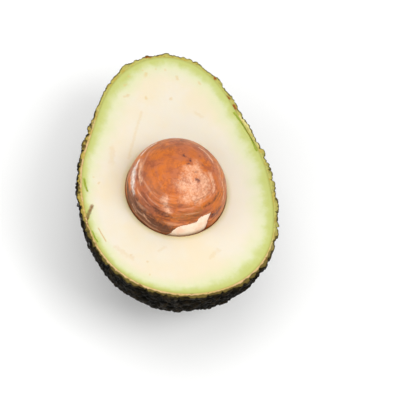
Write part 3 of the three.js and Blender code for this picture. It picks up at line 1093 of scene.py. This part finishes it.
def floor_material(stage):
    material, tree, shader = new_material("Pale floor", Specular_IOR_Level=0.2)
    place = object_place(tree)
    soft = mottle(tree, place, 6.0, 0.3, 0.7)
    base = blended(tree, soft, stage.floor, [0.985 * c for c in stage.floor])
    rough = ranged(tree, soft, 0.0, 1.0, 0.75, 0.85)
    grain = effect(tree, "Grain", "Height", Place=place, Scale=400.0, Fine_share=0.3)
    finish_material(tree, shader, base, rough, grain, 0.01 * MM)
    return material


# Operators


class AVOCADO_OT_effects(bpy.types.Operator):
    """Make the shader effects that the materials share"""

    bl_idname = "avocado.effects"
    bl_label = "Make effects"

    def execute(self, context):
        for make in (mottle_group, mark_group, grain_group):
            make()
        return {"FINISHED"}


class AVOCADO_OT_skin(bpy.types.Operator):
    """Build the pebbled skin with its cut edge"""

    bl_idname = "avocado.skin"
    bl_label = "Build skin"

    def execute(self, context):
        rings, attributes = skin_rings(context)
        material = skin_material(context.scene.avocado_skin, seed_middle(context))
        add_piece("pebbled_skin", rings + fruit_middle(context), attributes, material, "skin")
        return {"FINISHED"}


class AVOCADO_OT_flesh(bpy.types.Operator):
    """Build the flesh with its cut face and the hollow for the seed"""

    bl_idname = "avocado.flesh"
    bl_label = "Build flesh"

    def execute(self, context):
        rings, attributes = flesh_rings(context)
        material = flesh_material(context.scene.avocado_flesh, seed_middle(context))
        add_piece("moist_flesh", rings + fruit_middle(context), attributes, material, "flesh")
        return {"FINISHED"}


class AVOCADO_OT_seed(bpy.types.Operator):
    """Build the seed: its papery torn coat and the pale kernel"""

    bl_idname = "avocado.seed"
    bl_label = "Build seed"

    def execute(self, context):
        seed, middle = context.scene.avocado_seed, seed_middle(context)
        rings, attributes = coat_rings(context)
        material = coat_material(seed, middle)
        add_piece("papery_coat", rings + middle, attributes, material, "seed_coat")
        rings, attributes = kernel_rings(context)
        material = kernel_material(seed)
        add_piece("pale_kernel", rings + middle, attributes, material, "seed_kernel")
        return {"FINISHED"}


class AVOCADO_OT_stage(bpy.types.Operator):
    """Build the floor, the soft lights and the camera"""

    bl_idname = "avocado.stage"
    bl_label = "Build stage"

    def execute(self, context):
        stage = context.scene.avocado_stage
        target = Vector(fruit_middle(context)) - Vector((0, stage.target, 0))
        right, up, back = camera_axes(stage)
        add_camera(context, stage, target, right, up, back)
        add_floor(context, stage)
        add_lights(context, target)
        return {"FINISHED"}


def camera_axes(stage):
    """Right, up and back of the camera: tilted off the cut face, turned to the left, then rolled."""
    tilt, turn, roll = stage.tilt, stage.turn, stage.roll
    back = Vector((-math.sin(tilt) * math.sin(turn), -math.sin(tilt) * math.cos(turn), math.cos(tilt)))
    level = Vector((0, 1, 0)).cross(back).normalized()
    raised = back.cross(level)
    right = math.cos(roll) * level + math.sin(roll) * raised
    return right, back.cross(right), back


def add_camera(context, stage, target, right, up, back):
    """Camera that stands back from its target and looks at what lies in the middle of the picture."""
    data = bpy.data.cameras.new("Camera")
    camera = bpy.data.objects.new("Camera", data)
    context.scene.collection.objects.link(camera)
    pixel = stage.picture_width / PICTURE_WIDTH
    aim = target + right * pixel * (PICTURE_WIDTH / 2 - stage.target_column)
    aim -= up * pixel * (PICTURE_WIDTH / 2 - stage.target_row)
    place = target + back * stage.distance
    facing = (place - aim).normalized()
    level = (right - facing * right.dot(facing)).normalized()
    axes = Matrix((level, facing.cross(level), facing)).transposed()
    camera.matrix_world = Matrix.Translation(place) @ axes.to_4x4()
    data.lens = data.sensor_width * stage.distance / stage.picture_width
    data.clip_start = 0.01
    data.clip_end = 20
    context.scene.camera = camera


def add_floor(context, stage):
    """Flat floor under the half."""
    half = stage.floor_size / 2
    corners = [(-half, -half, 0), (half, -half, 0), (half, half, 0), (-half, half, 0)]
    mesh = bpy.data.meshes.new("floor")
    mesh.from_pydata(corners, [], [(0, 1, 2, 3)])
    mesh.materials.append(floor_material(stage))
    floor = bpy.data.objects.new("floor", mesh)
    context.scene.collection.objects.link(floor)


# Lights: degrees round from +X, degrees up, distance, width and height in metres, watts
LIGHTS = {
    "right_window": (-31, 53, 0.8, 0.45, 0.45, 2.6),
    "back_sheet": (100, 68, 0.9, 0.9, 0.8, 2.4),
    "front_fill": (-108, 30, 0.9, 0.7, 0.5, 1.8),
    "left_sheet": (186, 28, 0.9, 0.7, 0.5, 2.1),
}
SKY_STRENGTH = 0.53


def add_lights(context, target):
    """Large soft lights round the half, and an even white surround."""
    for name, (bearing, height, distance, width, depth, watts) in LIGHTS.items():
        turn, rise = math.radians(bearing), math.radians(height)
        direction = Vector((math.cos(rise) * math.cos(turn), math.cos(rise) * math.sin(turn), math.sin(rise)))
        data = bpy.data.lights.new(name, "AREA")
        data.shape = "RECTANGLE"
        data.size = width
        data.size_y = depth
        data.energy = watts
        light = bpy.data.objects.new(name, data)
        context.scene.collection.objects.link(light)
        light.location = target + direction * distance
        light.rotation_mode = "QUATERNION"
        light.rotation_quaternion = direction.to_track_quat("Z", "Y")
    world = bpy.data.worlds.new("Surround")
    world.use_nodes = True
    world.node_tree.nodes["Background"].inputs["Color"].default_value = (1, 1, 1, 1)
    world.node_tree.nodes["Background"].inputs["Strength"].default_value = SKY_STRENGTH
    context.scene.world = world
    context.scene.view_settings.view_transform = "Standard"


class AVOCADO_PT_panel(bpy.types.Panel):
    """Lists the steps that build the avocado half"""

    bl_idname = "AVOCADO_PT_panel"
    bl_label = "Avocado half"
    bl_space_type = "VIEW_3D"
    bl_region_type = "UI"
    bl_category = "Avocado"

    def draw(self, context):
        for operator in OPERATORS:
            self.layout.operator(operator.bl_idname)
        for key, group in GROUPS.items():
            box = self.layout.box()
            box.label(text=group.__doc__)
            for name in group.__annotations__:
                box.prop(getattr(context.scene, key), name)


OPERATORS = (AVOCADO_OT_effects, AVOCADO_OT_skin, AVOCADO_OT_flesh, AVOCADO_OT_seed, AVOCADO_OT_stage)


def register():
    for group in GROUPS.values():
        bpy.utils.register_class(group)
    for key, group in GROUPS.items():
        setattr(bpy.types.Scene, key, PointerProperty(type=group))
    for shown in (*OPERATORS, AVOCADO_PT_panel):
        bpy.utils.register_class(shown)


def unregister():
    for shown in reversed((*OPERATORS, AVOCADO_PT_panel)):
        bpy.utils.unregister_class(shown)
    for key, group in reversed(GROUPS.items()):
        delattr(bpy.types.Scene, key)
        bpy.utils.unregister_class(group)


def main():
    register()
    bpy.ops.avocado.effects()
    bpy.ops.avocado.skin()
    bpy.ops.avocado.flesh()
    bpy.ops.avocado.seed()
    bpy.ops.avocado.stage()


if __name__ == "__main__":
    main()
